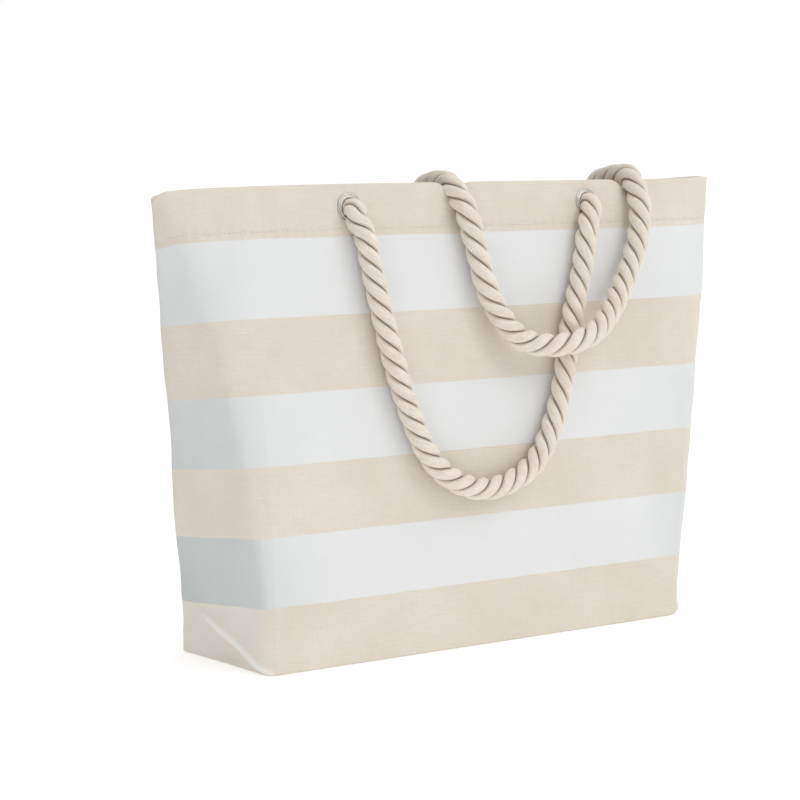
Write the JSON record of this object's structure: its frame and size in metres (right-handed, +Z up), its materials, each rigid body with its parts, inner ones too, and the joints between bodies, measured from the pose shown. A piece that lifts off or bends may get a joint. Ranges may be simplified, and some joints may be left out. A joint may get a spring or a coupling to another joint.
{
  "type": "beach bag",
  "caption": "Wide canvas beach tote with horizontal white bands, a boxed base, metal eyelets and two twisted rope handles, one draped over the mouth to the front.",
  "frame": {"origin": "centre of the base on the ground plane", "axes": "+Z up, +X along the front panel to the right seen from the front, the front panel faces -Y"},
  "size_m": [0.588, 0.1415, 0.3817],
  "materials": {
    "natural_canvas": "unbleached cotton canvas with white woven bands, matt",
    "hem_canvas": "the same canvas turned in at the rim",
    "hem_thread": "cotton lockstitch",
    "seam_tape": "folded and overlocked seam allowance",
    "eyelet_metal": "satin nickel",
    "rope_cotton": "three-strand twisted cotton rope, matt"
  },
  "bodies": {
    "bag": {"base_panel": "natural_canvas", "front_hem_facing": "hem_canvas", "front_hem_stitching": "hem_thread", "front_left_eyelet": "eyelet_metal", "front_left_knot": "rope_cotton", "front_left_washer": "eyelet_metal", "front_panel": "natural_canvas", "front_right_eyelet": "eyelet_metal", "front_right_knot": "rope_cotton", "front_right_washer": "eyelet_metal", "left_corner_seam": "seam_tape", "left_side_seam": "seam_tape", "rear_handle_left_leg": "rope_cotton", "rear_handle_right_leg": "rope_cotton", "rear_hem_facing": "hem_canvas", "rear_hem_stitching": "hem_thread", "rear_left_eyelet": "eyelet_metal", "rear_left_knot": "rope_cotton", "rear_left_washer": "eyelet_metal", "rear_panel": "natural_canvas", "rear_right_eyelet": "eyelet_metal", "rear_right_knot": "rope_cotton", "rear_right_washer": "eyelet_metal", "right_corner_seam": "seam_tape", "right_side_seam": "seam_tape"},
    "front_handle": {"front_handle": "rope_cotton"},
    "rear_span": {"rear_handle_left_span": "rope_cotton", "rear_handle_right_span": "rope_cotton"},
    "rear_loop": {"rear_handle_loop": "rope_cotton"}
  },
  "joints": [
    {"name": "front_handle_lift", "type": "hinge", "parent": "bag", "child": "front_handle", "pos_m": [0, -0.04101, 0.35155], "axis": [-1, 0, 0], "range_deg": [0, 170]},
    {"name": "rear_span_lift", "type": "hinge", "parent": "bag", "child": "rear_span", "pos_m": [0, 0.0355, 0.373], "axis": [-1, 0, 0], "range_deg": [0, 85]},
    {"name": "rear_loop_unfold", "type": "hinge", "parent": "rear_span", "child": "rear_loop", "pos_m": [0, -0.0355, 0.373], "axis": [-1, 0, 0], "range_deg": [0, 85]}
  ],
  "couplings": [
    {"joint": "rear_span_lift", "follows": "front_handle_lift", "ratio": 0.5},
    {"joint": "rear_loop_unfold", "follows": "front_handle_lift", "ratio": 0.5}
  ]
}
